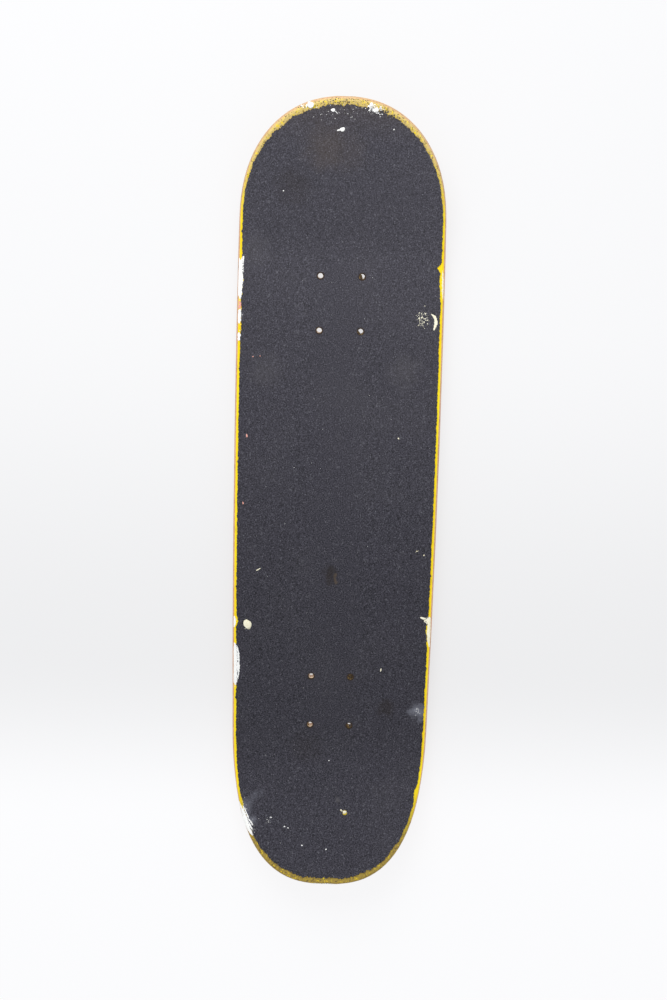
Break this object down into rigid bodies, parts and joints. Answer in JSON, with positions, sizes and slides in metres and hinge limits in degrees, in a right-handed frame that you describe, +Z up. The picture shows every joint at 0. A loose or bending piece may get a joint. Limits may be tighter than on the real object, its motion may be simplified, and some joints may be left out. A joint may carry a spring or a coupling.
{
  "type": "skateboard deck",
  "caption": "Bare double-kick skateboard deck of laminated maple with concave, truck bolt holes and worn black grip tape.",
  "frame": {"origin": "midway between the tips, on the centre line, on the plane that the underside rests on", "axes": "+X runs to the nose, +Y to the left rail, +Z up out of the grip tape"},
  "size_m": [0.8, 0.2084, 0.0606],
  "materials": {
    "grip_tape": "rough abrasive coating",
    "top_veneer": "dyed yellow maple",
    "upper_crossband": "maple veneer",
    "upper_core": "maple veneer",
    "centre_core": "maple veneer",
    "lower_core": "maple veneer",
    "lower_crossband": "maple veneer",
    "bottom_veneer": "maple veneer"
  },
  "bodies": {
    "root": {"grip_tape": "grip_tape", "top_veneer": "top_veneer", "upper_crossband": "upper_crossband", "upper_core": "upper_core", "centre_core": "centre_core", "lower_core": "lower_core", "lower_crossband": "lower_crossband", "bottom_veneer": "bottom_veneer"}
  },
  "joints": []
}
